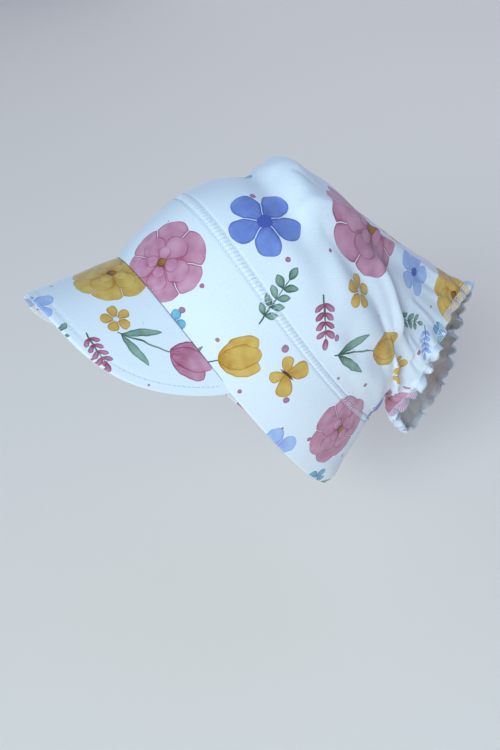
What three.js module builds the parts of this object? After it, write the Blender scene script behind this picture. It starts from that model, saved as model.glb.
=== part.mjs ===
// Visor headscarf cap, sewn from printed jersey: a curved visor, a double band round the head, and a
// crown that runs on over the head as a soft tube, whose tail ends at the nape in an open, overlocked hem.
// Millimetres, +Z up, the face looks along -Y and the wearer's left side is +X. The origin is the
// head seat: the place inside the top of the crown where the head carries the cap.

import * as THREE from "three";

const { degToRad, radToDeg, lerp, smoothstep } = THREE.MathUtils;

// Cloth
const jersey = 1.2;
const doubleJersey = 2.4;
const visorThickness = 3;
const clothColour = 0xe4e8f0;
const clothRoughness = 0.85;

// Clearance where one piece meets the next: along the seams, and across the crown's cloth at its peak,
// where the crown ends and the tail begins
const seamGap = 0.8;
const visorGap = 1.1;

// The face opening and the band seam lie in planes that lean back by this much from level.
const bandTilt = degToRad(52);
const bandAxis = new THREE.Vector3(0, Math.sin(bandTilt), Math.cos(bandTilt));

// Visor: its depth over the forehead, the half of the face opening that it is sewn to, its slope,
// how its front edge runs back to the corners, and how far it is bent up towards the wearer's left,
// as a share of the distance from the middle.
const visorDepth = 59;
const visorHalfSpan = degToRad(72.5);
const visorSlope = degToRad(11.5);
const visorFront = { flatness: 6, roundness: 0.667 };
const visorBend = 0.12;

// Rings of the cloth tube, from the face opening to the hem. along is the length of cloth from the
// face opening, over the top. Each ring is an oval between a top point and a nape point (y, z);
// side is the step from its middle to the wearer's left side, and bow moves both sides along the
// band's axis.
const rings = [
  { along: 0, topY: -81, topZ: -39, napeY: 44, napeZ: -206, sideX: 70, sideY: 0, sideZ: 0, bow: -7 },
  { along: 26, topY: -62, topZ: -21, napeY: 62, napeZ: -187, sideX: 71.5, sideY: 0, sideZ: 0, bow: -9 },
  { along: 53, topY: -40, topZ: -6, napeY: 77, napeZ: -165, sideX: 70, sideY: 0, sideZ: 0, bow: -11 },
  { along: 86, topY: -10, topZ: 3, napeY: 83, napeZ: -160, sideX: 70, sideY: -2, sideZ: 0, bow: -9 },
  { along: 101, topY: 4, topZ: 1, napeY: 85, napeZ: -157, sideX: 69, sideY: -3, sideZ: 0, bow: -7 },
  { along: 124, topY: 23, topZ: 11, napeY: 88, napeZ: -154, sideX: 66, sideY: -6, sideZ: 0, bow: -4 },
  { along: 147, topY: 45, topZ: -2, napeY: 91, napeZ: -151, sideX: 61, sideY: -9, sideZ: 0, bow: 0 },
  { along: 201, topY: 86, topZ: -38, napeY: 96, napeZ: -146, sideX: 51, sideY: -15, sideZ: 0, bow: 0 },
  { along: 250, topY: 125, topZ: -69, napeY: 104, napeZ: -166, sideX: 41, sideY: -24, sideZ: 6, bow: 0 },
  { along: 295, topY: 162, topZ: -93, napeY: 116, napeZ: -202, sideX: 34, sideY: -34, sideZ: 14, bow: 0 },
];
const bandSeam = 53;
const tailLine = 147;
const hemEdge = 295;
const overlockWidth = 5;
const overlockLine = hemEdge - overlockWidth;

// Folds and hollows of the crown: a line from one place to another on the tube (degrees round from
// the top towards the wearer's left, length along), its height (negative for a hollow) and width.
const folds = [
  { fromTurn: 38, fromAlong: 130, toTurn: 17, toAlong: 285, height: 4, width: 8 },
  { fromTurn: 54, fromAlong: 130, toTurn: 66, toAlong: 215, height: -6, width: 13 },
  { fromTurn: -38, fromAlong: 130, toTurn: -20, toAlong: 285, height: 3, width: 9 },
  { fromTurn: -56, fromAlong: 130, toTurn: -64, toAlong: 215, height: -5, width: 14 },
];
const foldFade = 0.25;

// Places where the cloth is drawn aside by the elastic at the nape and by the weight of the tail:
// where, how far it reaches round (degrees) and along, and the step that the cloth takes.
const pulls = [
  { turn: 146, along: 295, reachTurn: 34, reachAlong: 45, x: -2, y: -7, z: 19 },
  { turn: 92, along: 290, reachTurn: 30, reachAlong: 45, x: 7, y: -1, z: 5 },
  { turn: 240, along: 295, reachTurn: 42, reachAlong: 50, x: 0, y: 12, z: 8 },
  { turn: 128, along: 205, reachTurn: 30, reachAlong: 40, x: 6, y: 0, z: -8 },
];

// Gathers over the elastic at the nape
const gathers = { pleats: 30, height: 1.8, turn: 180, along: 201, reachTurn: 60, reachAlong: 26 };

// Waves of the hem, which is stretched as it is overlocked
const hemWaves = { count: 28, height: 2.6, start: 268 };
const stepsPerWave = 4;

// One column of the ring table at a length along the tube, by a cubic curve through the rings.
function ringValue(key, along) {
  const last = rings.length - 1;
  let start = 0;
  while (start < last - 1 && along > rings[start + 1].along) start += 1;
  const spanOf = (index) => rings[index + 1].along - rings[index].along;
  const slopeOf = (index) => (rings[index + 1][key] - rings[index][key]) / spanOf(index);
  const tangentOf = (index) => {
    if (index === 0) return slopeOf(0);
    if (index === last) return slopeOf(last - 1);
    const [before, after] = [spanOf(index - 1), spanOf(index)];
    return (slopeOf(index - 1) * after + slopeOf(index) * before) / (before + after);
  };
  const span = spanOf(start);
  const share = (along - rings[start].along) / span;
  const [from, to] = [rings[start][key], rings[start + 1][key]];
  const [leave, arrive] = [tangentOf(start) * span, tangentOf(start + 1) * span];
  const square = 3 * (to - from) - 2 * leave - arrive;
  const cube = 2 * (from - to) + leave + arrive;
  return from + share * (leave + share * (square + share * cube));
}

// 1 at no offset, falling smoothly to 0 past the reach
function bell(offset, reach) {
  return Math.exp(-((offset / reach) ** 2));
}

// How near a place on the tube is to a spot given by its turn, length along and reaches
function nearness(turn, along, spot) {
  return bell(turnOffset(turn, spot.turn), spot.reachTurn) * bell(along - spot.along, spot.reachAlong);
}

function turnOffset(turn, degrees) {
  return ((((radToDeg(turn) - degrees) % 360) + 540) % 360) - 180;
}

// The tube of the rings alone; turn runs from the top towards the wearer's left side.
function smoothCloth(turn, along) {
  const value = (key) => ringValue(key, along);
  const side = Math.sin(turn);
  const rise = (1 + Math.cos(turn)) / 2;
  const point = new THREE.Vector3(
    side * value("sideX"),
    lerp(value("napeY"), value("topY"), rise) + side * value("sideY"),
    lerp(value("napeZ"), value("topZ"), rise) + side * value("sideZ"),
  );
  return point.addScaledVector(bandAxis, value("bow") * side * side);
}

function drawnCloth(turn, along) {
  const point = smoothCloth(turn, along);
  for (const pull of pulls) {
    point.addScaledVector(new THREE.Vector3(pull.x, pull.y, pull.z), nearness(turn, along, pull));
  }
  return point;
}

const turnStep = 0.001;
const alongStep = 0.05;

// At a place on a cloth surface: the way out of it, and the way forward in it, square to its ring
function clothFrame(surface, turn, along) {
  const across = surface(turn + turnStep, along).sub(surface(turn - turnStep, along)).normalize();
  const lengthwise = surface(turn, along + alongStep).sub(surface(turn, along - alongStep));
  const outward = across.clone().cross(lengthwise).normalize();
  return { outward, forward: outward.clone().cross(across) };
}

function foldHeight(turn, along) {
  let height = 0;
  for (const fold of folds) {
    const share = (along - fold.fromAlong) / (fold.toAlong - fold.fromAlong);
    const centre = lerp(fold.fromTurn, fold.toTurn, share);
    const fadeIn = smoothstep(share, -foldFade, foldFade);
    const fadeOut = 1 - smoothstep(share, 1 - foldFade, 1 + foldFade);
    height += fold.height * fadeIn * fadeOut * bell(turnOffset(turn, centre), fold.width);
  }
  return height;
}

// The crown's cloth with its folds, gathers and hem waves
function foldedCloth(turn, along) {
  const growth = smoothstep(along, hemWaves.start, hemEdge);
  const wave = hemWaves.height * growth * Math.sin(hemWaves.count * turn);
  const pleat = gathers.height * nearness(turn, along, gathers) * Math.cos(gathers.pleats * turn);
  const { outward } = clothFrame(drawnCloth, turn, along);
  return drawnCloth(turn, along).addScaledVector(outward, foldHeight(turn, along) + wave + pleat);
}

// The visor is swept straight forward from the face opening; reach runs from 0 to 1.
function visorSurface(turn, reach) {
  const forward = new THREE.Vector3(0, -Math.cos(visorSlope), -Math.sin(visorSlope));
  const share = Math.min(1, Math.abs(turn) / visorHalfSpan);
  const depthShare = (1 - share ** visorFront.flatness) ** visorFront.roundness;
  const point = smoothCloth(turn, 0);
  point.z += visorBend * point.x * reach * depthShare;
  return point.addScaledVector(forward, visorGap + reach * depthShare * visorDepth);
}

// A closed wall of cloth over a surface: two skins half a thickness to each side of it, and the
// rims between them. A ring closes on itself; trim shortens its first and last edges.
function wall(surface, { turns, places, thickness, ring, trim = [0, 0] }) {
  const lastRow = places.length - 1;
  const skinAt = (offset) => places.map((place, row) => turns.map((turn) => {
    const { outward, forward } = clothFrame(surface, turn, place);
    const point = surface(turn, place).addScaledVector(outward, offset);
    if (row === 0) point.addScaledVector(forward, trim[0]);
    if (row === lastRow) point.addScaledVector(forward, -trim[1]);
    return point;
  }));
  const outer = skinAt(thickness / 2);
  const inner = skinAt(-thickness / 2);
  const positions = [];
  const quad = (...corners) => {
    const [a, b, c, d] = corners;
    for (const corner of [a, b, c, a, c, d]) positions.push(...corner.toArray());
  };
  const columns = ring ? turns.length : turns.length - 1;
  for (let i = 0; i < columns; i += 1) {
    const j = (i + 1) % turns.length;
    for (let row = 0; row < lastRow; row += 1) {
      quad(outer[row][i], outer[row][j], outer[row + 1][j], outer[row + 1][i]);
      quad(inner[row][j], inner[row][i], inner[row + 1][i], inner[row + 1][j]);
    }
    quad(inner[0][i], inner[0][j], outer[0][j], outer[0][i]);
    quad(outer[lastRow][i], outer[lastRow][j], inner[lastRow][j], inner[lastRow][i]);
  }
  if (!ring) {
    const end = turns.length - 1;
    for (let row = 0; row < lastRow; row += 1) {
      quad(inner[row][0], outer[row][0], outer[row + 1][0], inner[row + 1][0]);
      quad(outer[row][end], inner[row][end], inner[row + 1][end], outer[row + 1][end]);
    }
  }
  const geometry = new THREE.BufferGeometry();
  geometry.setAttribute("position", new THREE.Float32BufferAttribute(positions, 3));
  geometry.computeVertexNormals();
  return geometry;
}

function evenSteps(from, to, count) {
  return Array.from({ length: count + 1 }, (_, index) => lerp(from, to, index / count));
}

const fullTurn = evenSteps(0, 2 * Math.PI, hemWaves.count * stepsPerWave).slice(0, -1);
const cap = new THREE.Group();

function addPiece(name, geometry) {
  const finish = { color: clothColour, roughness: clothRoughness, metalness: 0 };
  const material = new THREE.MeshStandardMaterial(finish);
  const piece = new THREE.Mesh(geometry, material);
  piece.name = name;
  cap.add(piece);
}

addPiece("visor", wall(visorSurface, {
  turns: evenSteps(-visorHalfSpan, visorHalfSpan, 32),
  places: evenSteps(0, 1, 6),
  thickness: visorThickness,
  ring: false,
}));

addPiece("band", wall(smoothCloth, {
  turns: fullTurn,
  places: evenSteps(0, bandSeam, 2),
  thickness: doubleJersey,
  ring: true,
  trim: [0, seamGap / 2],
}));

addPiece("crown", wall(foldedCloth, {
  turns: fullTurn,
  places: evenSteps(bandSeam, tailLine, 6),
  thickness: jersey,
  ring: true,
  trim: [seamGap / 2, seamGap / 2],
}));

addPiece("tail", wall(foldedCloth, {
  turns: fullTurn,
  places: evenSteps(tailLine, overlockLine, 10),
  thickness: jersey,
  ring: true,
  trim: [seamGap / 2, seamGap / 2],
}));

addPiece("hem", wall(foldedCloth, {
  turns: fullTurn,
  places: [overlockLine, hemEdge],
  thickness: jersey,
  ring: true,
  trim: [seamGap / 2, 0],
}));

export default cap;
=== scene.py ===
import math
import random

import bmesh
import bpy
import numpy as np
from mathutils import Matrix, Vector


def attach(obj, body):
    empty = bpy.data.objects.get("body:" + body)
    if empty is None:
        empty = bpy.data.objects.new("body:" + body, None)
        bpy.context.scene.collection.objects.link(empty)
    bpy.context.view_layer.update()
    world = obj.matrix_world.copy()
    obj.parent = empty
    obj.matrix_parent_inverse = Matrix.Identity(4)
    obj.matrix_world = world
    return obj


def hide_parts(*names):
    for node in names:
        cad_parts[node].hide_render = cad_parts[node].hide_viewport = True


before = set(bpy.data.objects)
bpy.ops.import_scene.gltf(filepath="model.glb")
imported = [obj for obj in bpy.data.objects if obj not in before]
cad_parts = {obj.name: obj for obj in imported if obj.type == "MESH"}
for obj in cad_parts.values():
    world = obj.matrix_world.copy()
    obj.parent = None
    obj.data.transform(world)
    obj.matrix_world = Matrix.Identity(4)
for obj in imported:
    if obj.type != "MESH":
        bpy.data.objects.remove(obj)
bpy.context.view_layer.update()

mm = 0.001

# Studio: a pale, faintly lit floor well below the cap, soft daylight from a large window behind the
# camera, a weaker light from a doorway on the far side, and a pale blue light all round. The camera
# stands to the wearer's left and a little above.
azimuth = math.radians(65)
elevation = math.radians(25)
camera_distance = 780 * mm
aim = Vector((0, 0, -75 * mm))
picture_height = 750
focal_pixels = 1250
aim_above_middle = 75
sensor_height = 36
floor_level = -300 * mm
floor_reach = 12
light_spread = math.radians(90)

camera_back = Vector((
    math.sin(azimuth) * math.cos(elevation),
    -math.cos(azimuth) * math.cos(elevation),
    math.sin(elevation),
))
camera_right = Vector((math.cos(azimuth), math.sin(azimuth), 0))
camera_up = camera_back.cross(camera_right)

camera = bpy.data.objects.new("camera", bpy.data.cameras.new("camera"))
camera.data.sensor_fit = "VERTICAL"
camera.data.sensor_height = sensor_height
camera.data.lens = focal_pixels / picture_height * sensor_height
camera.data.clip_start = 10 * mm
camera_drop = aim_above_middle / focal_pixels * camera_distance
camera.location = aim + camera_back * camera_distance - camera_up * camera_drop
camera.rotation_euler = (math.pi / 2 - elevation, 0, azimuth)
bpy.context.collection.objects.link(camera)
bpy.context.scene.camera = camera


def linear(colour):
    """An sRGB hex colour as linear red, green, blue and alpha."""
    channels = [int(colour[start:start + 2], 16) / 255 for start in (0, 2, 4)]
    return [c / 12.92 if c <= 0.04045 else ((c + 0.055) / 1.055) ** 2.4 for c in channels] + [1]


def add_node(tree, kind, inputs=None, **settings):
    """A node with its settings; inputs gives sockets, by name or number, a value or a node to link."""
    node = tree.nodes.new(kind)
    for name, value in settings.items():
        setattr(node, name, value)
    for key, value in (inputs or {}).items():
        in_use = [socket for socket in node.inputs if socket.enabled]
        socket = node.inputs[key] if isinstance(key, int) else next(s for s in in_use if s.name == key)
        if isinstance(value, bpy.types.Node):
            value = next(output for output in value.outputs if output.enabled)
        if isinstance(value, bpy.types.NodeSocket):
            tree.links.new(value, socket)
        else:
            socket.default_value = value
    return node


def new_material(name):
    """An empty material: its node tree, and the shader that its surface shows."""
    material = bpy.data.materials.new(name)
    material.use_nodes = True
    tree = material.node_tree
    tree.nodes.clear()
    shader = add_node(tree, "ShaderNodeBsdfPrincipled")
    add_node(tree, "ShaderNodeOutputMaterial", {"Surface": shader})
    return material, tree, shader


def add_light(name, right, up, back, size, power, colour):
    """A square soft light, placed from the aim along the camera's own directions, and turned to the aim."""
    light = bpy.data.objects.new(name, bpy.data.lights.new(name, "AREA"))
    light.data.size = size
    light.data.spread = light_spread
    light.data.energy = power
    light.data.color = linear(colour)[:3]
    light.location = aim + camera_right * right + camera_up * up + camera_back * back
    light.rotation_euler = (light.location - aim).to_track_quat("Z", "Y").to_euler()
    light.visible_camera = False
    bpy.context.collection.objects.link(light)


add_light("window", right=-0.9, up=-0.1, back=3.0, size=1.1, power=18.5, colour="daf6ff")
add_light("doorway", right=0.9, up=1.3, back=-2.7, size=2.4, power=16, colour="f2f4ff")

world = bpy.data.worlds.new("room")
world.use_nodes = True
world.node_tree.nodes["Background"].inputs["Color"].default_value = linear("b8d0f8")
world.node_tree.nodes["Background"].inputs["Strength"].default_value = 0.42
bpy.context.scene.world = world
bpy.context.scene.view_settings.view_transform = "Standard"

floor_sheet = bmesh.new()
bmesh.ops.create_grid(floor_sheet, x_segments=1, y_segments=1, size=floor_reach)
bmesh.ops.translate(floor_sheet, verts=floor_sheet.verts, vec=(0, 0, floor_level))
floor_mesh = bpy.data.meshes.new("floor")
floor_sheet.to_mesh(floor_mesh)
floor = bpy.data.objects.new("floor", floor_mesh)
bpy.context.collection.objects.link(floor)
floor_paint, _, floor_shader = new_material("matt_floor_paint")
floor_shader.inputs["Base Color"].default_value = linear("fff6ea")
floor_shader.inputs["Roughness"].default_value = 0.9
floor_shader.inputs["Emission Color"].default_value = linear("ffe8c8")
floor_shader.inputs["Emission Strength"].default_value = 0.12
floor_mesh.materials.append(floor_paint)

# Band: the front 53 mm of the cap's one panel of printed cotton jersey, folded in along the face
# opening so that it lies double round the head, from the forehead down past the ears to the nape.
# The fold is soft, and both layers end at the seam, where the print runs on over the crown.
band_tilt = math.radians(52)
band_axis = np.array([0, math.sin(band_tilt), math.cos(band_tilt)])
band_seam = 53
tail_line = 147
hem_edge = 295
ring_columns = ("along", "top_y", "top_z", "nape_y", "nape_z", "side_x", "side_y", "side_z", "bow")
rings = np.array([
    (0, -81, -39, 44, -206, 70, 0, 0, -7),
    (26, -62, -21, 62, -187, 71.5, 0, 0, -9),
    (band_seam, -40, -6, 77, -165, 70, 0, 0, -11),
    (86, -10, 3, 83, -160, 70, -2, 0, -9),
    (101, 4, 1, 85, -157, 69, -3, 0, -7),
    (124, 23, 11, 88, -154, 66, -6, 0, -4),
    (tail_line, 45, -2, 91, -151, 61, -9, 0, 0),
    (201, 86, -38, 96, -146, 51, -15, 0, 0),
    (250, 125, -69, 104, -166, 41, -24, 6, 0),
    (hem_edge, 162, -93, 116, -202, 34, -34, 14, 0),
])
turn_step = 0.001
along_step = 0.05
no_length = 1e-9
around_columns = 420
jersey = 1.0


def ring_value(column, along):
    """A column of the ring table at lengths along the tube, by a cubic curve through the rings."""
    knots, values = rings[:, 0], rings[:, ring_columns.index(column)]
    spans = np.diff(knots)
    slopes = np.diff(values) / spans
    middle = (slopes[:-1] * spans[1:] + slopes[1:] * spans[:-1]) / (spans[:-1] + spans[1:])
    tangents = np.concatenate([slopes[:1], middle, slopes[-1:]])
    start = np.clip(np.searchsorted(knots, along) - 1, 0, len(spans) - 1)
    share = (along - knots[start]) / spans[start]
    leave, arrive = tangents[start] * spans[start], tangents[start + 1] * spans[start]
    step = values[start + 1] - values[start]
    square, cube = 3 * step - 2 * leave - arrive, leave + arrive - 2 * step
    return values[start] + share * (leave + share * (square + share * cube))


def smooth_cloth(turn, along):
    """The tube of the rings alone, in mm; turn runs from the top towards the wearer's left side."""
    value = {column: ring_value(column, along) for column in ring_columns[1:]}
    side = np.sin(turn)
    rise = (1 + np.cos(turn)) / 2
    x = side * value["side_x"]
    y = value["nape_y"] + rise * (value["top_y"] - value["nape_y"]) + side * value["side_y"]
    z = value["nape_z"] + rise * (value["top_z"] - value["nape_z"]) + side * value["side_z"]
    return np.stack([x, y, z], axis=-1) + (value["bow"] * side ** 2)[..., None] * band_axis


def unit(vectors):
    """The vectors at length 1; one of no length, as at the visor's tips, stays at none."""
    return vectors / np.maximum(np.linalg.norm(vectors, axis=-1, keepdims=True), no_length)


def cloth_frame(surface, turn, along):
    """At places on a cloth surface: the way out of it, and the way forward in it, square to its ring."""
    across = surface(turn + turn_step, along) - surface(turn - turn_step, along)
    lengthwise = surface(turn, along + along_step) - surface(turn, along - along_step)
    outward = unit(np.cross(across, lengthwise))
    return outward, unit(np.cross(outward, across))


def add_cloth(name, columns, rows, shape, materials):
    """A piece of cloth from a grid; shape takes two arrays of shares, across and along, and gives the
    places in mm and the cloth's flat coordinates in mm, which become the UV map in metres."""
    cloth = bmesh.new()
    bmesh.ops.create_grid(cloth, x_segments=columns, y_segments=rows, size=1)
    shares = (np.array([vertex.co[:2] for vertex in cloth.verts]) + 1) / 2
    shares = shares.reshape(rows + 1, columns + 1, 2)
    places, flat = shape(shares[..., 0], shares[..., 1])
    flat = flat.reshape(-1, 2) * mm
    layer = cloth.loops.layers.uv.new("cloth")
    for face in cloth.faces:
        face.smooth = True
        for loop in face.loops:
            loop[layer].uv = flat[loop.vert.index]
    for vertex, place in zip(cloth.verts, places.reshape(-1, 3) * mm):
        vertex.co = place
    bmesh.ops.remove_doubles(cloth, verts=cloth.verts, dist=0.01 * mm)
    for edge in cloth.edges:
        edge.smooth = not edge.is_boundary
    mesh = bpy.data.meshes.new(name)
    cloth.to_mesh(mesh)
    cloth.free()
    piece = bpy.data.objects.new(name, mesh)
    bpy.context.collection.objects.link(piece)
    for material in materials:
        mesh.materials.append(material)
    return piece


def thicken(piece, thickness):
    """Gives a sheet its thickness to both sides; its inner side takes the second material."""
    wall = piece.modifiers.new("cloth", "SOLIDIFY")
    wall.thickness = thickness * mm
    wall.offset = 0
    wall.use_even_offset = False
    wall.material_offset = 1
    wall.material_offset_rim = 0


# Print: flowers, sprigs, butterflies and dots, washed in like watercolour. Every motif is drawn with
# one petal outline and one way of painting.


def node_group(name, inputs, outputs):
    """An empty node group with its sockets: the tree, its input node and its output node."""
    tree = bpy.data.node_groups.new(name, "ShaderNodeTree")
    for socket, kind in inputs.items():
        tree.interface.new_socket(socket, in_out="INPUT", socket_type=kind)
    for socket, kind in outputs.items():
        tree.interface.new_socket(socket, in_out="OUTPUT", socket_type=kind)
    return tree, tree.nodes.new("NodeGroupInput").outputs, tree.nodes.new("NodeGroupOutput").inputs


# One petal or leaf, standing on the origin along +Y: how far inside its outline a place lies, and
# its share of the length. Point is 0.5 for a round petal and 1 for a pointed leaf. Z, counted from
# no_neighbour below zero, is the room up to the next petal.
no_neighbour = 1.0
petal_outline, given, result = node_group(
    "petal outline",
    {"Place": "NodeSocketVector", "Length": "NodeSocketFloat", "Width": "NodeSocketFloat",
     "Point": "NodeSocketFloat", "Taper": "NodeSocketFloat"},
    {"Edge": "NodeSocketFloat", "Share": "NodeSocketFloat"},
)
part = add_node(petal_outline, "ShaderNodeSeparateXYZ", {0: given["Place"]})
share = add_node(petal_outline, "ShaderNodeMath", {0: part.outputs["Y"], 1: given["Length"]},
                 operation="DIVIDE", use_clamp=True)
rest = add_node(petal_outline, "ShaderNodeMath", {0: 1.0, 1: share}, operation="SUBTRACT")
swell = add_node(petal_outline, "ShaderNodeMath", {0: share, 1: rest}, operation="MULTIPLY")
swell = add_node(petal_outline, "ShaderNodeMath", {0: swell, 1: 4.0}, operation="MULTIPLY")
swell = add_node(petal_outline, "ShaderNodeMath", {0: swell, 1: given["Point"]}, operation="POWER")
swell = add_node(petal_outline, "ShaderNodeMath", {0: swell, 1: given["Width"]}, operation="MULTIPLY")
lean = add_node(petal_outline, "ShaderNodeMath", {0: share, 1: 0.5}, operation="SUBTRACT")
lean = add_node(petal_outline, "ShaderNodeMath", {0: lean, 1: given["Taper"], 2: 1.0},
                operation="MULTIPLY_ADD")
swell = add_node(petal_outline, "ShaderNodeMath", {0: swell, 1: lean}, operation="MULTIPLY")
aside = add_node(petal_outline, "ShaderNodeMath", {0: part.outputs["X"]}, operation="ABSOLUTE")
edge = add_node(petal_outline, "ShaderNodeMath", {0: swell, 1: aside}, operation="SUBTRACT")
room = add_node(petal_outline, "ShaderNodeMath", {0: part.outputs["Z"], 1: no_neighbour}, operation="ADD")
edge = add_node(petal_outline, "ShaderNodeMath", {0: edge, 1: room}, operation="MINIMUM")
petal_outline.links.new(edge.outputs[0], result["Edge"])
petal_outline.links.new(share.outputs[0], result["Share"])

# A watercolour wash inside an outline: darker where the colour pools at the rim and at the petal's
# foot, with blooms some 8 mm wide and fine veins that fade towards the tip.
vein_spacing = 2.1
wash, given, result = node_group(
    "watercolour wash",
    {"Ground": "NodeSocketColor", "Place": "NodeSocketVector", "Edge": "NodeSocketFloat",
     "Share": "NodeSocketFloat", "Bloom": "NodeSocketFloat", "Pale": "NodeSocketColor",
     "Deep": "NodeSocketColor"},
    {"Colour": "NodeSocketColor"},
)
cover = add_node(wash, "ShaderNodeMapRange", {"Value": given["Edge"], "From Max": 0.35 * mm},
                 interpolation_type="SMOOTHSTEP")
rim = add_node(wash, "ShaderNodeMapRange",
               {"Value": given["Edge"], "From Max": 1.5 * mm, "To Min": 0.6, "To Max": 0.0},
               interpolation_type="SMOOTHSTEP")
foot = add_node(wash, "ShaderNodeMapRange",
                {"Value": given["Share"], "From Max": 0.7, "To Min": 0.38, "To Max": 0.0})
part = add_node(wash, "ShaderNodeSeparateXYZ", {0: given["Place"]})
vein = add_node(wash, "ShaderNodeMath", {0: part.outputs["X"], 1: math.tau / (vein_spacing * mm)},
                operation="MULTIPLY")
vein = add_node(wash, "ShaderNodeMath", {0: given["Bloom"], 1: 9.0, 2: vein}, operation="MULTIPLY_ADD")
vein = add_node(wash, "ShaderNodeMath", {0: vein}, operation="COSINE")
vein = add_node(wash, "ShaderNodeMapRange", {"Value": vein, "From Min": 0.55, "To Max": 0.36})
vein = add_node(wash, "ShaderNodeMath", {0: vein, 1: foot}, operation="MULTIPLY")
tone = add_node(wash, "ShaderNodeMath", {0: rim, 1: foot}, operation="ADD")
tone = add_node(wash, "ShaderNodeMath", {0: given["Bloom"], 1: 0.4, 2: tone}, operation="MULTIPLY_ADD")
tone = add_node(wash, "ShaderNodeMath", {0: vein, 1: 2.2, 2: tone},
                operation="MULTIPLY_ADD", use_clamp=True)
colour = add_node(wash, "ShaderNodeMix", {"Factor": tone, "A": given["Pale"], "B": given["Deep"]},
                  data_type="RGBA")
painted = add_node(wash, "ShaderNodeMix", {"Factor": cover, "A": given["Ground"], "B": colour},
                   data_type="RGBA")
wash.links.new(painted.outputs[2], result["Colour"])

# Petals round a flower's heart: the place as one petal sees it, with +Y outwards.
spokes, given, result = node_group(
    "spokes",
    {"Place": "NodeSocketVector", "Count": "NodeSocketFloat"},
    {"Place": "NodeSocketVector"},
)
part = add_node(spokes, "ShaderNodeSeparateXYZ", {0: given["Place"]})
angle = add_node(spokes, "ShaderNodeMath", {0: part.outputs["X"], 1: part.outputs["Y"]},
                 operation="ARCTAN2")
sector = add_node(spokes, "ShaderNodeMath", {0: math.tau, 1: given["Count"]}, operation="DIVIDE")
petal = add_node(spokes, "ShaderNodeMath", {0: angle, 1: sector}, operation="DIVIDE")
petal = add_node(spokes, "ShaderNodeMath", {0: petal}, operation="ROUND")
aside = add_node(spokes, "ShaderNodeMath", {0: petal, 1: sector}, operation="MULTIPLY")
aside = add_node(spokes, "ShaderNodeMath", {0: angle, 1: aside}, operation="SUBTRACT")
reach = add_node(spokes, "ShaderNodeVectorMath", {0: given["Place"]}, operation="LENGTH")
x = add_node(spokes, "ShaderNodeMath", {0: aside}, operation="SINE")
y = add_node(spokes, "ShaderNodeMath", {0: aside}, operation="COSINE")
x = add_node(spokes, "ShaderNodeMath", {0: x, 1: reach.outputs["Value"]}, operation="MULTIPLY")
y = add_node(spokes, "ShaderNodeMath", {0: y, 1: reach.outputs["Value"]}, operation="MULTIPLY")
half = add_node(spokes, "ShaderNodeMath", {0: sector, 1: 0.5}, operation="MULTIPLY")
room = add_node(spokes, "ShaderNodeMath", {0: aside}, operation="ABSOLUTE")
room = add_node(spokes, "ShaderNodeMath", {0: half, 1: room}, operation="SUBTRACT")
room = add_node(spokes, "ShaderNodeMath", operation="MULTIPLY_ADD",
                inputs={0: room, 1: reach.outputs["Value"], 2: -no_neighbour})
place = add_node(spokes, "ShaderNodeCombineXYZ", {"X": x, "Y": y, "Z": room})
spokes.links.new(place.outputs[0], result["Place"])

# Leaves in pairs up a stem: the place as one leaf's foot sees it.
pairs, given, result = node_group(
    "pairs",
    {"Place": "NodeSocketVector", "Pitch": "NodeSocketFloat", "Last": "NodeSocketFloat"},
    {"Place": "NodeSocketVector"},
)
part = add_node(pairs, "ShaderNodeSeparateXYZ", {0: given["Place"]})
step = add_node(pairs, "ShaderNodeMath", {0: part.outputs["Y"], 1: given["Pitch"]}, operation="DIVIDE")
step = add_node(pairs, "ShaderNodeMath", {0: step, 1: -0.4}, operation="ADD")
step = add_node(pairs, "ShaderNodeMath", {0: step}, operation="ROUND")
step = add_node(pairs, "ShaderNodeMath", {0: step, 1: 0.0}, operation="MAXIMUM")
step = add_node(pairs, "ShaderNodeMath", {0: step, 1: given["Last"]}, operation="MINIMUM")
foot = add_node(pairs, "ShaderNodeMath", {0: step, 1: given["Pitch"]}, operation="MULTIPLY")
y = add_node(pairs, "ShaderNodeMath", {0: part.outputs["Y"], 1: foot}, operation="SUBTRACT")
x = add_node(pairs, "ShaderNodeMath", {0: part.outputs["X"]}, operation="ABSOLUTE")
place = add_node(pairs, "ShaderNodeCombineXYZ", {"X": x, "Y": y})
pairs.links.new(place.outputs[0], result["Place"])

inks = {name: linear(colour) for name, colour in {
    "cloth": "f3f6fb", "ochre": "ecc368", "amber": "bd7c1c", "brown": "8a5c46", "umber": "463029",
    "sky": "bccff4", "cornflower": "8a9fe0", "indigo": "5161b2", "teal": "8cc4da", "deep_teal": "2b7393",
    "rose": "dd9fb5", "raspberry": "a23c62", "sage": "a6c0b0", "moss": "44654f",
    "dusk": "cd93a8", "dusk_rim": "ae6c86",
}.items()}


def paint_petal(tree, ground, place, length, width, ink, point=0.5, taper=0.5):
    """One petal or leaf over the ground, standing on the place's origin along +Y; sizes in mm. An ink is
    a pale and a deep colour: a value, or a node that picks it."""
    outline = add_node(tree, "ShaderNodeGroup", node_tree=petal_outline, inputs={
        "Place": place, "Length": length * mm, "Width": width * mm, "Point": point, "Taper": taper,
    })
    return add_node(tree, "ShaderNodeGroup", node_tree=wash, inputs={
        "Ground": ground, "Place": place, "Edge": outline.outputs["Edge"], "Bloom": bloom,
        "Share": outline.outputs["Share"], "Pale": ink[0], "Deep": ink[1],
    })


def seen_from(tree, place, x, y, turn=0):
    """The place as seen from a point of the motif in mm, with +Y turned by degrees."""
    return add_node(tree, "ShaderNodeMapping", vector_type="TEXTURE", inputs={
        "Vector": place, "Location": (x * mm, y * mm, 0), "Rotation": (0, 0, math.radians(turn)),
    })


def paint_disc(tree, ground, place, radius, ink):
    disc = seen_from(tree, place, 0, -radius)
    return paint_petal(tree, ground, disc, 2 * radius, radius, ink, taper=0)


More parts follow.
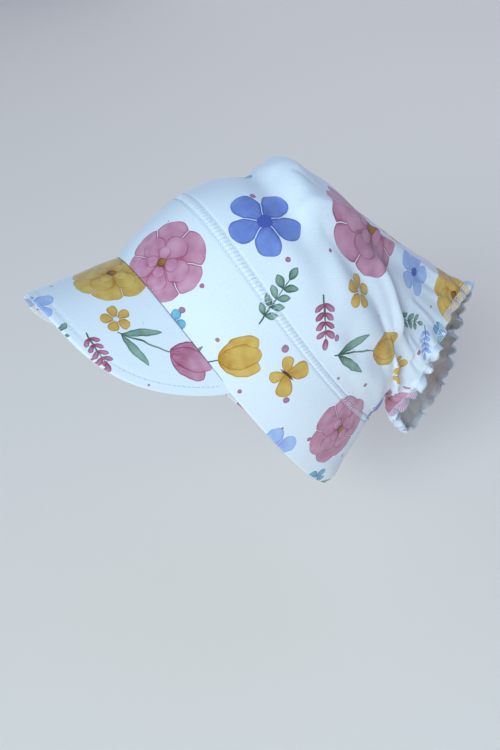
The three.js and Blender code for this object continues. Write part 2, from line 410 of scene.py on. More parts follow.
def paint_blossom(tree, ground, place, size, ink, heart):
    """Five broad petals round a heart"""
    petals = add_node(tree, "ShaderNodeGroup", {"Place": place, "Count": 5.0}, node_tree=spokes)
    ground = paint_petal(tree, ground, petals, size / 2, size * 0.17, ink, taper=0.9)
    return paint_disc(tree, ground, place, size * 0.1, heart)


def paint_rosette(tree, ground, place, size, ink, heart):
    """Three rings of petals, each over the last"""
    for count, share, turn in ((7, 0.5, 0), (5, 0.35, 20), (4, 0.2, 50)):
        ring = seen_from(tree, place, 0, 0, turn)
        ring = add_node(tree, "ShaderNodeGroup", {"Place": ring, "Count": count}, node_tree=spokes)
        ground = paint_petal(tree, ground, ring, size * share, size * share * 0.4, ink, taper=0.8)
    return paint_disc(tree, ground, place, size * 0.06, heart)


def paint_tulip(tree, ground, place, size, ink, leaf):
    """A cup of three petals on a stem with two long leaves"""
    stem = seen_from(tree, place, 0, -size)
    ground = paint_petal(tree, ground, stem, size * 1.1, 0.7, leaf, point=0.1, taper=0)
    for turn in (24, -31):
        blade = seen_from(tree, place, 0, -size * 0.95, turn)
        ground = paint_petal(tree, ground, blade, size * 0.8, size * 0.09, leaf, point=0.9, taper=0.2)
    for turn in (19, -19, 0):
        cup = seen_from(tree, place, 0, 0, turn)
        ground = paint_petal(tree, ground, cup, size * 0.82, size * 0.23, ink, point=0.62, taper=0)
    return ground


def paint_sprig(tree, ground, place, size, ink, leaf, point=0.9):
    """A stem with four pairs of leaves or buds and one at its tip"""
    stem = seen_from(tree, place, 0, -size * 0.2)
    ground = paint_petal(tree, ground, stem, size, 0.6, leaf, point=0.1, taper=-0.5)
    feet = add_node(tree, "ShaderNodeGroup", {"Place": place, "Pitch": size * 0.19 * mm, "Last": 3.0},
                    node_tree=pairs)
    sides = seen_from(tree, feet, 0, 0, -52)
    ground = paint_petal(tree, ground, sides, size * 0.27, size * 0.075, ink, point=point, taper=0.3)
    tip = seen_from(tree, place, 0, size * 0.74)
    return paint_petal(tree, ground, tip, size * 0.27, size * 0.075, ink, point=point, taper=0.3)


def paint_butterfly(tree, ground, place, size, ink, body):
    """Two pairs of wings, spread, on a slim body"""
    wings = add_node(tree, "ShaderNodeGroup", {"Place": place, "Pitch": 1.0, "Last": 0.0}, node_tree=pairs)
    for turn, length in ((-128, 0.4), (-52, 0.56)):
        wing = seen_from(tree, wings, 0, 0, turn)
        ground = paint_petal(tree, ground, wing, size * length, size * length * 0.34, ink, taper=0.9)
    torso = seen_from(tree, place, 0, -size * 0.22)
    return paint_petal(tree, ground, torso, size * 0.46, size * 0.035, body, point=0.6, taper=0.2)


# The motifs of one repeat: what, across, along, turn, size, two inks that take turns from repeat to
# repeat, the ink of its heart, stem or body, and how pointed a sprig's buds are where they aren't
# leaves. Each also turns and shifts a little in each repeat.
motifs = [
    (paint_rosette, 25, 22, 10, 48, "rose raspberry", "ochre amber", "amber umber"),
    (paint_tulip, 88, 34, 18, 31, "ochre amber", "rose raspberry", "sage moss"),
    (paint_blossom, 30, 72, 0, 31, "sky cornflower", "cornflower indigo", "indigo indigo"),
    (paint_sprig, 68, 62, -30, 27, "sage moss", "sage moss", "sage moss"),
    (paint_butterfly, 102, 74, 30, 25, "teal deep_teal", "ochre amber", "brown umber"),
    (paint_blossom, 60, 12, 40, 18, "teal deep_teal", "ochre amber", "cloth sky"),
    (paint_sprig, 66, 92, 80, 23, "sky cornflower", "dusk raspberry", "sage moss", 0.5),
]
print_repeat = (118, 100)
motif_shift = 4
motif_swing = 0.9
dot_spacing = 31
dot_radius = 2.2
blooms_per_metre = 130.0

floral_print, given, result = node_group(
    "floral print", {"Cloth": "NodeSocketVector"}, {"Colour": "NodeSocketColor"})
waver = add_node(floral_print, "ShaderNodeTexNoise",
                 {"Vector": given["Cloth"], "Scale": blooms_per_metre, "Detail": 1.0})
bloom = add_node(floral_print, "ShaderNodeMapRange",
                 {"Value": waver.outputs["Fac"], "From Min": 0.32, "From Max": 0.68}, clamp=True)
waver = add_node(floral_print, "ShaderNodeVectorMath", {0: waver.outputs["Color"], 1: (0.5, 0.5, 0.5)},
                 operation="SUBTRACT")
drawn = add_node(floral_print, "ShaderNodeVectorMath",
                 {0: waver, 1: (2.2 * mm, 2.2 * mm, 0), 2: given["Cloth"]}, operation="MULTIPLY_ADD")
cell = add_node(floral_print, "ShaderNodeTexVoronoi", voronoi_dimensions="2D",
                inputs={"Vector": drawn, "Scale": 1 / (dot_spacing * mm), "Randomness": 0.75})
pick = add_node(floral_print, "ShaderNodeSeparateColor", {0: cell.outputs["Color"]})
spread = add_node(floral_print, "ShaderNodeMapRange",
                  {"Value": pick.outputs["Red"], "From Min": 0.3, "To Min": 0.4 * dot_radius / dot_spacing,
                   "To Max": dot_radius / dot_spacing}, clamp=False)
edge = add_node(floral_print, "ShaderNodeMath", {0: spread, 1: cell.outputs["Distance"]},
                operation="SUBTRACT")
edge = add_node(floral_print, "ShaderNodeMath", {0: edge, 1: dot_spacing * mm}, operation="MULTIPLY")
ground = add_node(floral_print, "ShaderNodeGroup", node_tree=wash, inputs={
    "Ground": inks["cloth"], "Place": drawn, "Edge": edge, "Share": 0.5, "Bloom": bloom,
    "Pale": inks["dusk"], "Deep": inks["dusk_rim"],
})
for paint, across, along, turn, size, first, second, other, *more in motifs:
    centred = add_node(floral_print, "ShaderNodeVectorMath",
                       {0: drawn, 1: (across * mm, along * mm, 0)}, operation="SUBTRACT")
    repeat = add_node(floral_print, "ShaderNodeVectorMath", operation="MULTIPLY_ADD", inputs={
        0: centred, 1: (1 / (print_repeat[0] * mm), 1 / (print_repeat[1] * mm), 0),
        2: (0.5, 0.5, across),
    })
    repeat = add_node(floral_print, "ShaderNodeVectorMath", {0: repeat}, operation="FLOOR")
    chance = add_node(floral_print, "ShaderNodeTexWhiteNoise", {"Vector": repeat}, noise_dimensions="3D")
    place = add_node(floral_print, "ShaderNodeVectorMath", operation="WRAP", inputs={
        0: centred, 1: (print_repeat[0] * mm / 2, print_repeat[1] * mm / 2, 1),
        2: (-print_repeat[0] * mm / 2, -print_repeat[1] * mm / 2, -1),
    })
    place = add_node(floral_print, "ShaderNodeVectorMath", operation="MULTIPLY_ADD", inputs={
        0: chance.outputs["Color"], 1: (motif_shift * mm, motif_shift * mm, 0), 2: place,
    })
    swing = add_node(floral_print, "ShaderNodeMath", operation="MULTIPLY_ADD", inputs={
        0: chance.outputs["Value"], 1: motif_swing, 2: math.radians(turn) - motif_swing / 2,
    })
    place = add_node(floral_print, "ShaderNodeVectorRotate", {"Vector": place, "Angle": swing},
                     rotation_type="Z_AXIS")
    swap = add_node(floral_print, "ShaderNodeMath", {0: chance.outputs["Value"]}, operation="ROUND")
    ink = [
        add_node(floral_print, "ShaderNodeMix", {"Factor": swap, "A": inks[one], "B": inks[two]},
                 data_type="RGBA")
        for one, two in zip(first.split(), second.split())
    ]
    ground = paint(floral_print, ground, place, size, ink, [inks[name] for name in other.split()], *more)
floral_print.links.new(ground.outputs[0], result["Colour"])

# Single jersey: fine knitted ribs, 28 to the inch on the real cloth. They are drawn 1.3 mm wide here,
# which is as fine as the picture shows, and 1 mm along.
rib_width = 1.3
course_height = 1.0
rib_relief = 0.12
fibres_per_metre = 900.0
creases_per_metre = 60.0
jersey_knit, given, result = node_group(
    "jersey knit", {"Cloth": "NodeSocketVector"}, {"Height": "NodeSocketFloat"})
ribs = add_node(jersey_knit, "ShaderNodeVectorMath",
                {0: given["Cloth"], 1: (1 / (rib_width * mm), 1 / (course_height * mm), 1)},
                operation="MULTIPLY")
part = add_node(jersey_knit, "ShaderNodeSeparateXYZ", {0: ribs})
leg = add_node(jersey_knit, "ShaderNodeMath", {0: part.outputs["X"], 1: 0.5}, operation="PINGPONG")
wave = add_node(jersey_knit, "ShaderNodeMath", {0: leg, 1: 1.2, 2: part.outputs["Y"]},
                operation="MULTIPLY_ADD")
wave = add_node(jersey_knit, "ShaderNodeMath", {0: wave, 1: math.tau}, operation="MULTIPLY")
wave = add_node(jersey_knit, "ShaderNodeMath", {0: wave}, operation="SINE")
height = add_node(jersey_knit, "ShaderNodeMath", {0: wave, 1: 0.2, 2: leg}, operation="MULTIPLY_ADD")
jersey_knit.links.new(height.outputs[0], result["Height"])


def jersey_material(name, print_share):
    """Knitted cotton: soft, no gloss, a faint bloom of loose fibres, and small rubbed-in creases."""
    material, tree, shader = new_material(name)
    cloth = add_node(tree, "ShaderNodeUVMap", uv_map="cloth")
    pattern = add_node(tree, "ShaderNodeGroup", {"Cloth": cloth}, node_tree=floral_print)
    # The wrong side's unprinted ground is darkened and warmed below its real off-white: painted shade and
    # warm bounce light inside the tail.
    blend = add_node(tree, "ShaderNodeMix", {"Factor": print_share, "A": linear("d4c6b6"), "B": pattern},
                     data_type="RGBA")
    fuzz = add_node(tree, "ShaderNodeTexNoise", {"Vector": cloth, "Scale": fibres_per_metre, "Detail": 2.0})
    fuzz = add_node(tree, "ShaderNodeMapRange", {"Value": fuzz, "To Min": 0.9, "To Max": 1.0})
    surface = add_node(tree, "ShaderNodeMix", {"Factor": 1.0, "A": blend, "B": fuzz},
                       data_type="RGBA", blend_type="MULTIPLY")
    tree.links.new(surface.outputs[2], shader.inputs["Base Color"])
    knit = add_node(tree, "ShaderNodeGroup", {"Cloth": cloth}, node_tree=jersey_knit)
    crease = add_node(tree, "ShaderNodeTexNoise",
                      {"Vector": cloth, "Scale": creases_per_metre, "Detail": 4.0})
    relief = add_node(tree, "ShaderNodeMath", {0: crease, 1: 2.5, 2: knit}, operation="MULTIPLY_ADD")
    bump = add_node(tree, "ShaderNodeBump",
                    {"Strength": 0.5, "Distance": rib_relief * mm, "Height": relief})
    tree.links.new(bump.outputs[0], shader.inputs["Normal"])
    shader.inputs["Roughness"].default_value = 0.88
    shader.inputs["Sheen Weight"].default_value = 0.25
    shader.inputs["Sheen Roughness"].default_value = 0.5
    shader.inputs["Specular IOR Level"].default_value = 0.3
    return material


printed_jersey = jersey_material("printed_cotton_jersey", 1.0)
# The wrong side: its unprinted ground in painted shade, with the print faintly showing through.
jersey_back_painted_shade = jersey_material("jersey_wrong_side_painted_shade", 0.2)

# Where the elastic and the tail's weight draw the panel aside, and the rows and columns of the coarse
# sheet that is laid flat to place the print
pulls = [
    {"turn": 146, "along": 295, "reach_turn": 34, "reach_along": 45, "step": (-2, -7, 19)},
    {"turn": 92, "along": 290, "reach_turn": 30, "reach_along": 45, "step": (7, -1, 5)},
    {"turn": 240, "along": 295, "reach_turn": 42, "reach_along": 50, "step": (0, 12, 8)},
    {"turn": 128, "along": 205, "reach_turn": 30, "reach_along": 40, "step": (6, 0, -8)},
]
pattern_columns = 96
pattern_rows = 59


def turn_offset(turn, degrees):
    return (np.degrees(turn) - degrees + 540) % 360 - 180


def bell(offset, reach):
    """1 at no offset, falling smoothly to 0 past the reach"""
    return np.exp(-((offset / reach) ** 2))


def nearness(turn, along, spot):
    """1 at a spot of the tube, falling smoothly to 0 past its reach round and along the tube"""
    near_in_turn = bell(turn_offset(turn, spot["turn"]), spot["reach_turn"])
    return near_in_turn * bell(along - spot["along"], spot["reach_along"])


def drawn_cloth(turn, along):
    """The tube with the places where the elastic and the tail's weight draw it aside"""
    point = smooth_cloth(turn, along)
    for pull in pulls:
        point = point + nearness(turn, along, pull)[..., None] * np.array(pull["step"])
    return point


def flat_pattern():
    """The panel laid flat: a coarse sheet over the tube, cut open at the nape and unwrapped to its
    real size; gives flat coordinates in mm for each row and column."""
    panel = bmesh.new()
    bmesh.ops.create_grid(panel, x_segments=pattern_columns, y_segments=pattern_rows, size=1)
    shares = (np.array([vertex.co[:2] for vertex in panel.verts]) + 1) / 2
    turn, length = (2 * shares[:, 0] - 1) * math.pi, shares[:, 1] * hem_edge
    for vertex, place in zip(panel.verts, drawn_cloth(turn, length)):
        vertex.co = place
    mesh = bpy.data.meshes.new("pattern")
    panel.to_mesh(mesh)
    panel.free()
    sheet = bpy.data.objects.new("pattern", mesh)
    bpy.context.collection.objects.link(sheet)
    bpy.context.view_layer.objects.active = sheet
    bpy.ops.object.mode_set(mode="EDIT")
    bpy.ops.mesh.select_all(action="SELECT")
    bpy.ops.uv.unwrap(method="ANGLE_BASED", margin=0)
    bpy.ops.object.mode_set(mode="OBJECT")
    flat = np.zeros((len(mesh.vertices), 2))
    for loop, corner in zip(mesh.loops, mesh.uv_layers.active.data):
        flat[loop.vertex_index] = corner.uv
    area = sum(face.area for face in mesh.polygons)
    bpy.data.objects.remove(sheet)
    bpy.data.meshes.remove(mesh)
    flat = flat.reshape(pattern_rows + 1, pattern_columns + 1, 2)
    down, side = flat[1:, :-1] - flat[:-1, :-1], flat[:-1, 1:] - flat[:-1, :-1]
    flat_area = np.abs(side[..., 0] * down[..., 1] - side[..., 1] * down[..., 0]).sum()
    front = flat[0, pattern_columns // 2]
    run = flat[pattern_rows // 2, pattern_columns // 2] - front
    run /= np.linalg.norm(run)
    straighten = np.array([[run[1], run[0]], [-run[0], run[1]]])
    return (flat - front) @ straighten * math.sqrt(area / flat_area)


pattern = flat_pattern()


def flat_place(turn, along):
    """Where a place of the tube lies on the flat pattern"""
    column = (turn / math.pi + 1) / 2 * pattern_columns
    row = np.clip(along / hem_edge * pattern_rows, 0, pattern_rows)
    left = np.clip(np.floor(column), 0, pattern_columns - 1).astype(int)
    low = np.clip(np.floor(row), 0, pattern_rows - 1).astype(int)
    aside, ahead = (column - left)[..., None], (row - low)[..., None]
    near = pattern[low, left] * (1 - aside) + pattern[low, left + 1] * aside
    far = pattern[low + 1, left] * (1 - aside) + pattern[low + 1, left + 1] * aside
    return near * (1 - ahead) + far * ahead


band_rows = 84
row_shares = (0, 0.16, 0.48, 0.58, 1)
fold_radius = 0.6
fold_length = 6
row_paths = (0, 8, band_seam, band_seam + fold_length, 2 * band_seam + fold_length)
seam_stitch_rows = (band_seam - 3, band_seam + 3)
stitch_dip = 0.55
stitch_dip_width = 0.9
nape_corner = {"turn": 150, "reach": 26, "trim": 2.5, "flare": 3, "flare_at": 9, "flare_width": 9}


def seam_relief(along):
    """The two stitch rows pull the cloth in and leave it slightly raised between them"""
    rows = sum(bell(along - row, stitch_dip_width) for row in seam_stitch_rows)
    return stitch_dip * (0.5 * bell(along - band_seam, 2 * stitch_dip_width) - rows)


def band_shape(across, along):
    """From the seam along the outer layer to the fold, round it, and back along the inner layer; the
    folded edge is rounded off at its two corners by the nape, where it stands out a little."""
    turn = (1 - 2 * across) * math.pi
    path = np.interp(along, row_shares, row_paths)
    bend = np.clip((path - band_seam) / fold_length, 0, 1) * math.pi
    place = np.maximum(np.maximum(band_seam - path, path - band_seam - fold_length), 0)
    corner = bell(turn_offset(np.abs(turn), nape_corner["turn"]), nape_corner["reach"])
    trim = nape_corner["trim"] * corner
    place = trim + place * (1 - trim / band_seam)
    flare = bell(place - nape_corner["flare_at"], nape_corner["flare_width"])
    flare = nape_corner["flare"] * corner * flare
    outward, forward = cloth_frame(smooth_cloth, turn, place)
    inner = path > band_seam
    lift = fold_radius * np.cos(bend) + flare + np.where(inner, 0, seam_relief(place))
    points = smooth_cloth(turn, place) + outward * lift[..., None]
    points -= forward * (fold_radius * np.sin(bend))[..., None]
    flat, fold = flat_place(turn, place), flat_place(turn, trim)
    return points, np.where(inner[..., None], 2 * fold - flat, flat)


band = add_cloth("band_cloth", around_columns, band_rows, band_shape, [printed_jersey, jersey_back_painted_shade])
thicken(band, jersey)
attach(band, "root")
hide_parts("band")

# Visor: the stiffened peak over the forehead, printed jersey over a thin plastic stiffener on both
# sides, turned out, topstitched along its front edge in white, and sewn into the band's folded edge.
visor_depth = 59
visor_half_span = math.radians(72.5)
visor_slope = math.radians(11.5)
visor_flatness = 6
visor_roundness = 0.667
visor_bend = 0.12
visor_gap = 1.1
visor_half_thickness = 1.5
visor_columns = 200
visor_rows = 100
visor_face_share = 0.45
visor_edge_share = 0.06
visor_back_at_root = 0.999
visor_cut = (60, 118)
visor_lining_cut = (15, 20)
visor_ahead = np.array([0, -math.cos(visor_slope), -math.sin(visor_slope)])
topstitch_inset = 5.5
topstitch_dip = 0.45
topstitch_dip_width = 0.9
flat_samples = 801


def visor_share(turn):
    """How deep the visor is at a turn, as a share of its depth"""
    share = np.minimum(1, np.abs(turn) / visor_half_span)
    return (1 - share ** visor_flatness) ** visor_roundness


def visor_surface(turn, reach):
    """Swept straight forward from the face opening; reach runs from 0 to 1."""
    depth_share = visor_share(turn)
    point = smooth_cloth(turn, 0 * turn)
    point[..., 2] += visor_bend * point[..., 0] * reach * depth_share
    return point + (visor_gap + reach * depth_share * visor_depth)[..., None] * visor_ahead


def run_along(places):
    """How far along a line each of its places lies"""
    return np.concatenate([[0], np.cumsum(np.linalg.norm(np.diff(places, axis=0), axis=1))])


root_turns = np.linspace(-visor_half_span, visor_half_span, flat_samples)
root_places = smooth_cloth(root_turns, 0 * root_turns)
root_ahead = root_places @ visor_ahead
root_aside = run_along(root_places - root_ahead[:, None] * visor_ahead)
root_aside -= root_aside[flat_samples // 2]


def visor_flat(turn, reach):
    """Where a place of the visor lies when it is laid flat, in mm"""
    ahead = np.interp(turn, root_turns, root_ahead) + reach * visor_share(turn) * visor_depth
    return np.stack([np.interp(turn, root_turns, root_aside), ahead], axis=-1)


front_edge = visor_flat(root_turns, 1)
edge_run = unit(np.gradient(front_edge, axis=0))
topstitch = front_edge + topstitch_inset * np.stack([edge_run[:, 1], -edge_run[:, 0]], axis=1)
topstitch_turns = np.interp(topstitch[:, 0], root_aside, root_turns)
topstitch_reach = topstitch[:, 1] - np.interp(topstitch_turns, root_turns, root_ahead)
on_visor = (topstitch_reach > 0) & (np.abs(topstitch[:, 0]) < root_aside[-1])
topstitch, topstitch_turns, topstitch_reach = (
    line[on_visor] for line in (topstitch, topstitch_turns, topstitch_reach))
topstitch_reach /= visor_share(topstitch_turns) * visor_depth


def visor_skin(turn, reach, lift):
    """A place on the visor's upper skin, or with a negative lift on its lower skin"""
    outward, _ = cloth_frame(visor_surface, turn, reach)
    half = visor_half_thickness * np.sqrt(np.clip(visor_share(turn), 0, 1))
    flat = visor_flat(turn, reach)
    offset = np.linalg.norm(flat[..., None, :] - topstitch[::8], axis=-1).min(axis=-1)
    half = half * (1 - topstitch_dip / visor_half_thickness * bell(offset, topstitch_dip_width))
    return visor_surface(turn, reach) + outward * (half * lift)[..., None], half


def visor_shape(across, along):
    """Out along the upper face, round the front edge, back along the lower face, and up to its start"""
    turn = np.sin((across - 0.5) * math.pi) * visor_half_span
    out = np.clip(along / visor_face_share, 0, 1)
    back = np.clip((along - visor_face_share - visor_edge_share) / visor_face_share, 0, 1)
    bend = np.clip((along - visor_face_share) / visor_edge_share, 0, 1)
    bend = (bend + np.clip((along + visor_edge_share / 2 - 1) / (visor_edge_share / 2), 0, 1)) * math.pi
    back = np.where(back > visor_back_at_root, 1, back)
    reach = out - back
    points, half = visor_skin(turn, reach, np.cos(bend))
    swell = np.where(bend > math.pi, 0.5, 1) * np.sin(bend)
    points += (half * (swell - (bend <= math.pi) * out))[..., None] * visor_ahead
    flat = visor_flat(turn, reach)
    lower = (bend > math.pi / 2)[..., None]
    return points, np.where(lower, flat * (1, -1) + visor_lining_cut, flat + visor_cut)


visor = add_cloth("visor_cloth", visor_columns, visor_rows, visor_shape, [printed_jersey])
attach(visor, "root")
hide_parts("visor")

# Crown and tail: the rest of the panel, one layer of jersey that runs over the head with a soft peak
# and ends in the open tail. Its folds, the gathers over the elastic at the nape and the waves of the
# hem are in the cloth itself.
folds = [
    {"start": (38, 130), "end": (17, 285), "height": 4, "width": 8},
    {"start": (-38, 130), "end": (-20, 285), "height": 3, "width": 9},
    {"start": (-56, 130), "end": (-64, 215), "height": -5, "width": 14},
]
fold_fade = 0.25
gathers = {
    "turn": 180, "along": 201, "reach_turn": 60, "reach_along": 26, "pleats": 30, "height": 1.8,
    "drift": 1.5, "drifts": 3, "swell": 0.4, "swells": 7,
}
hem_waves = [
    {"count": 21, "height": 1.0, "drift": 2.1, "drifts": 2},
    {"count": 12, "height": 1.1, "drift": 1.4, "drifts": 3},
]
wave_start = 266
creases = [
    {"start": (34, 114), "end": (31, 182), "height": 1.8, "width": 4},
    {"start": (31, 182), "end": (6, 284), "height": 1.8, "width": 4},
    {"start": (-12, 121), "end": (8, 128), "height": 1.5, "width": 5},
    {"start": (-16, 108), "end": (2, 114), "height": 2.2, "width": 7},
    {"start": (13, 124), "end": (22, 132), "height": -0.9, "width": 1.6},
    {"start": (50, 124), "end": (88, 160), "height": -5, "width": 17},
    {"start": (50, 200), "end": (66, 234), "height": -6, "width": 7},
    {"start": (56, 178), "end": (78, 204), "height": 3.5, "width": 8},
    {"start": (96, 100), "end": (112, 128), "height": -2.4, "width": 11},
    {"start": (84, 196), "end": (90, 258), "height": 1.8, "width": 6},
    {"start": (98, 180), "end": (104, 250), "height": -2, "width": 6},
    {"start": (-48, 196), "end": (-66, 240), "height": -2.6, "width": 5},
    {"start": (-80, 190), "end": (-92, 262), "height": 2, "width": 6},
]
degree_width = 1.1
puckers = {
    "count": 34, "starts": (240, 276), "swerve": 6, "height": 1.1, "heights": (0.4, 1.2),
    "width": 2.4, "widths": (0.8, 1.4), "seed": 5,
}
puckering = random.Random(puckers["seed"])
for pucker in range(puckers["count"]):
    turn = 360 * (pucker + puckering.random()) / puckers["count"]
    sign = 1 if pucker % 2 else -1
    creases.append({
        "start": (turn, puckering.uniform(*puckers["starts"])),
        "end": (turn + puckering.uniform(-puckers["swerve"], puckers["swerve"]), hem_edge),
        "height": sign * puckers["height"] * puckering.uniform(*puckers["heights"]),
        "width": puckers["width"] * puckering.uniform(*puckers["widths"]),
    })
curl_start = 285
curl_spots = [
    {"turn": -82, "reach_turn": 44, "curve": -0.23},
    {"turn": 166, "reach_turn": 32, "curve": -0.27},
    {"turn": 75, "reach_turn": 24, "curve": 0.1},
]
frills = [
    {"count": 26, "curve": 0.09, "drift": 1.7, "drifts": 3},
    {"count": 15, "curve": 0.06, "drift": 1.2, "drifts": 2},
]
frill_calm = {"turn": 18, "reach_turn": 34, "share": 0.8}
softness = [
    {"across": 3, "ahead": 0.05, "height": 0.5, "phase": 1.0},
    {"across": 7, "ahead": -0.08, "height": 0.35, "phase": 3.1},
    {"across": 13, "ahead": 0.11, "height": 0.2, "phase": 4.4},
]
crown_rows = 108
crown_row_shares = (0, 0.13, 1)
fine_rows_end = band_seam + 12
lift_end = band_seam + 20
soft_from = band_seam + 40
overlock_line = 290


def smoothstep(value, start, end):
    share = np.clip((value - start) / (end - start), 0, 1)
    return share * share * (3 - 2 * share)


def fold_height(turn, along):
    height = 0
    for fold in folds:
        share = (along - fold["start"][1]) / (fold["end"][1] - fold["start"][1])
        centre = fold["start"][0] + share * (fold["end"][0] - fold["start"][0])
        fade = smoothstep(share, -fold_fade, fold_fade)
        fade = fade * (1 - smoothstep(share, 1 - fold_fade, 1 + fold_fade))
        height = height + fold["height"] * fade * bell(turn_offset(turn, centre), fold["width"])
    return height


def crease_height(turn, along):
    """The narrow creases, each raised or sunk along the line between its two ends"""
    height = 0
    for crease in creases:
        (turn_start, start), (turn_end, end) = crease["start"], crease["end"]
        run = np.array([(turn_end - turn_start) * degree_width, end - start])
        aside, ahead = turn_offset(turn, turn_start) * degree_width, along - start
        share = np.clip((aside * run[0] + ahead * run[1]) / (run @ run), 0, 1)
        distance = np.hypot(aside - share * run[0], ahead - share * run[1])
        height = height + crease["height"] * bell(distance, crease["width"])
    return height


def hem_height(turn, along):
    """The waves of the cloth behind its stretched edge"""
    height = 0
    growth = smoothstep(along, wave_start, hem_edge)
    for wave in hem_waves:
        drift = wave["drift"] * np.sin(wave["drifts"] * turn)
        height = height + growth * wave["height"] * np.sin(wave["count"] * turn + drift)
    return height


def soft_height(turn, along):
    """The slight unevenness of loose cloth, none at the seam"""
    height = 0
    for wave in softness:
        phase = wave["across"] * turn + wave["ahead"] * along + wave["phase"]
        height = height + wave["height"] * np.sin(phase)
    return height * smoothstep(along, band_seam, soft_from)


def edge_curve(turn):
    """How sharply the free edge curls, one part in so many mm, outwards where it is above zero"""
    curve = 0
    for frill in frills:
        drift = frill["drift"] * np.sin(frill["drifts"] * turn)
        curve = curve + frill["curve"] * np.sin(frill["count"] * turn + drift)
    calm = bell(turn_offset(turn, frill_calm["turn"]), frill_calm["reach_turn"])
    curve = curve * (1 - frill_calm["share"] * calm)
    for spot in curl_spots:
        curve = curve + spot["curve"] * bell(turn_offset(turn, spot["turn"]), spot["reach_turn"])
    return curve


def folded_cloth(turn, along):
    """The crown's cloth with its folds, creases, gathers and hem waves, and its free edge curled"""
    length = np.minimum(along, curl_start)
    drift = gathers["drift"] * np.sin(gathers["drifts"] * turn)
    swell = 1 + gathers["swell"] * np.sin(gathers["swells"] * turn)
    pleat = np.cos(gathers["pleats"] * turn + drift) * swell
    height = fold_height(turn, length) + crease_height(turn, length) + hem_height(turn, length)
    gathered = gathers["height"] * nearness(turn, length, gathers) * pleat
    height = height + soft_height(turn, length) + gathered
    outward, forward = cloth_frame(drawn_cloth, turn, length)
    rolled = along - length
    bend = edge_curve(turn) * rolled
    ahead = rolled * np.sinc(bend / math.pi)
    aside = rolled * np.sin(bend / 2) * np.sinc(bend / math.tau)
    return drawn_cloth(turn, length) + (height + aside)[..., None] * outward + ahead[..., None] * forward


def crown_lift(along):
    """How far the cloth stands off the crown's surface by the seam, flush with the band's outer layer"""
    return fold_radius * (1 - smoothstep(along, band_seam, lift_end)) + seam_relief(along)


def crown_shape(across, along):
    turn = (2 * across - 1) * math.pi
    place = np.interp(along, crown_row_shares, (band_seam, fine_rows_end, overlock_line))
    outward, _ = cloth_frame(drawn_cloth, turn, place)
    return folded_cloth(turn, place) + outward * crown_lift(place)[..., None], flat_place(turn, place)


crown = add_cloth("crown_cloth", around_columns, crown_rows, crown_shape, [printed_jersey, jersey_back_painted_shade])
thicken(crown, jersey)
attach(crown, "root")
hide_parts("crown", "tail")

# Hem: the raw edge of the tail, stretched as it is overlocked, so that it stands in small waves.
hem_rows = 6


def hem_shape(across, along):
    turn = (2 * across - 1) * math.pi
    place = overlock_line + along * (hem_edge - overlock_line)
    return folded_cloth(turn, place), flat_place(turn, place)


hem = add_cloth("hem_cloth", around_columns, hem_rows, hem_shape, [printed_jersey, jersey_back_painted_shade])
thicken(hem, jersey)
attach(hem, "root")
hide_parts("hem")

# Threads: white polyester, in every seam that shows. Each row is made stitch by stitch on the skin of
# the cloth that it holds: the cover stitch over the band's seam, the visor's topstitch, and the
# overlock stitch whose loops wrap the raw hem.
thread_radius = 0.2
cover_pitch = 2.6
cover_slant = 1.6
zigzag_reach = 0.45
topstitch_pitch = 2.9
topstitch_gap = 0.5
topstitch_start = 0.5
overlock_pitch = 1.5
overlock_radius = 0.24
fibre_strands_per_metre = 2500.0
ring_samples = 4001

white_thread, thread_tree, thread_shader = new_material("white_polyester_thread")
fibres = add_node(thread_tree, "ShaderNodeTexCoord")
fibres = add_node(thread_tree, "ShaderNodeTexNoise", inputs={
    "Vector": fibres.outputs["Object"], "Scale": fibre_strands_per_metre, "Detail": 1.0,
})
# The white thread is painted greyer and bluer than it is, as painted shade of the grooves it sinks into;
# the noise between the two tones gives its fibres a real, uneven tone.
fibre_tone_and_painted_shade = add_node(thread_tree, "ShaderNodeMix", data_type="RGBA",
                inputs={"Factor": fibres, "A": linear("c6cad8"), "B": linear("eceef5")})
thread_tree.links.new(fibre_tone_and_painted_shade.outputs[2], thread_shader.inputs["Base Color"])
twist = add_node(thread_tree, "ShaderNodeBump", {"Strength": 0.4, "Distance": 0.05 * mm, "Height": fibres})
thread_tree.links.new(twist.outputs[0], thread_shader.inputs["Normal"])
thread_shader.inputs["Roughness"].default_value = 0.5
thread_shader.inputs["Sheen Weight"].default_value = 0.2


def add_thread(name, strands, radius):
    """Threads through lists of places in mm; a list that ends where it starts is closed."""
    curve = bpy.data.curves.new(name, "CURVE")
    curve.dimensions = "3D"
    curve.bevel_depth = radius * mm
    curve.bevel_resolution = 0
    curve.use_fill_caps = True
    for strand in strands:
        closed = np.allclose(strand[0], strand[-1])
        strand = strand[:-1] if closed else strand
        spline = curve.splines.new("POLY")
        spline.points.add(len(strand) - 1)
        spline.use_cyclic_u = bool(closed)
        spline.points.foreach_set("co", np.column_stack([strand * mm, np.ones(len(strand))]).ravel())
    drawn_curve = bpy.data.objects.new(name, curve)
    mesh = bpy.data.meshes.new_from_object(drawn_curve)
    mesh.name = name
    bpy.data.objects.remove(drawn_curve)
    mesh.polygons.foreach_set("use_smooth", [True] * len(mesh.polygons))
    mesh.materials.clear()
    mesh.materials.append(white_thread)
    thread = bpy.data.objects.new(name, mesh)
    bpy.context.collection.objects.link(thread)
    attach(thread, "root")
    return thread


def even_turns(surface, along, pitch):
    """Turns that lie a pitch apart round the ring at a length of the tube, from nape to nape"""
    turns = np.linspace(-math.pi, math.pi, ring_samples)
    run = run_along(surface(turns, along + 0 * turns))
    count = round(run[-1] / pitch)
    return np.interp(np.arange(count + 1) / count * run[-1], run, turns)


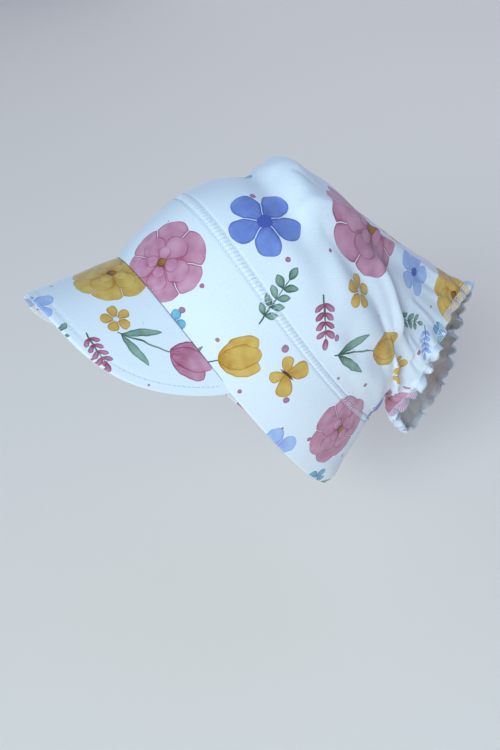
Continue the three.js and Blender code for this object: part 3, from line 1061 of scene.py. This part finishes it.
def seam_skin(turn, along, lift):
    """A place over the outer skin on either side of the band's seam"""
    band_out, _ = cloth_frame(smooth_cloth, turn, along)
    crown_out, _ = cloth_frame(drawn_cloth, turn, along)
    height = jersey / 2 + lift
    on_band = smooth_cloth(turn, along) + band_out * (fold_radius + seam_relief(along) + height)[..., None]
    on_crown = folded_cloth(turn, along) + crown_out * (crown_lift(along) + height)[..., None]
    return np.where((along < band_seam)[..., None], on_band, on_crown)


cover_turns = even_turns(smooth_cloth, band_seam, cover_pitch)
bar_shares = np.array([0, 0.12, 0.5, 0.88, 1])
bar_lifts = thread_radius * np.array([-2, 0.8, 1.2, 0.8, -2])
zigzag_lifts = [0.9, 0.3]
cover_stitches = []
for turn, following in zip(cover_turns[:-1], cover_turns[1:]):
    slant = (following - turn) * cover_slant / cover_pitch
    length = seam_stitch_rows[0] + bar_shares * (seam_stitch_rows[1] - seam_stitch_rows[0])
    cover_stitches.append(seam_skin(turn + bar_shares * slant, length, bar_lifts))
for row in seam_stitch_rows:
    turns = np.repeat(cover_turns[:-1], 2)
    turns[1::2] += np.diff(cover_turns) / 2
    sides = np.tile([-zigzag_reach, zigzag_reach], len(turns) // 2)
    line = seam_skin(turns, row + sides, np.tile(zigzag_lifts, len(turns) // 2) * thread_radius)
    cover_stitches.append(np.concatenate([line, line[:1]]))
add_thread("band_cover_stitch", cover_stitches, thread_radius)

topstitch_run = run_along(topstitch)
stitch_shares = np.array([0, 0.1, 0.5, 0.9, 1])
stitch_lifts = np.array([-2, 1, 1.4, 1, -2])
stitches = []
for side in (1, -1):
    for start in np.arange(topstitch_start, topstitch_run[-1] - topstitch_pitch, topstitch_pitch):
        places = start + stitch_shares * (topstitch_pitch - topstitch_gap)
        turns = np.interp(places, topstitch_run, topstitch_turns)
        reaches = np.interp(places, topstitch_run, topstitch_reach)
        heights = 1 + thread_radius / visor_half_thickness * stitch_lifts
        stitches.append(visor_skin(turns, reaches, side * heights)[0])
add_thread("visor_topstitch", stitches, thread_radius)

hem_turns = even_turns(folded_cloth, hem_edge, overlock_pitch)[:-1]
loop_lengths = np.array([-0.2, 0.3, 2, 4, 5.2, 5.6, 5.2, 3.5, 1.5, 0]) + overlock_line
loop_sides = np.array([0.6, 1, 1, 1, 0.9, 0, -0.9, -1, -1, -0.6])
loop_slant = 0.35
loop_sink = 0.7
row_sway = 0.25
row_stand = 1.15
edge_row_ahead = 0.5


def hem_skin(turn, along, side):
    """A place on the hem's outer skin for side 1, on its inner skin for -1, or on its edge for 0"""
    outward, forward = cloth_frame(folded_cloth, turn, np.minimum(along, hem_edge))
    beyond = np.maximum(along - hem_edge, 0)[..., None] * forward
    lift = side * (jersey / 2 + overlock_radius * loop_sink)
    return folded_cloth(turn, np.minimum(along, hem_edge)) + beyond + outward * lift[..., None]


loops = []
for turn, following in zip(hem_turns, np.roll(hem_turns, -1)):
    step = (following - turn) % math.tau
    lean = turn + step * loop_slant * (loop_lengths - overlock_line)
    loops.append(hem_skin(lean, loop_lengths, loop_sides))
for length, side in ((overlock_line, 1), (overlock_line, -1), (hem_edge + edge_row_ahead, 0)):
    sway = np.tile([-row_sway, row_sway], len(hem_turns) // 2 + 1)[:len(hem_turns)]
    line = hem_skin(hem_turns, length + sway, side * row_stand + 0 * hem_turns)
    loops.append(np.concatenate([line, line[:1]]))
add_thread("hem_overlock_thread", loops, overlock_radius)
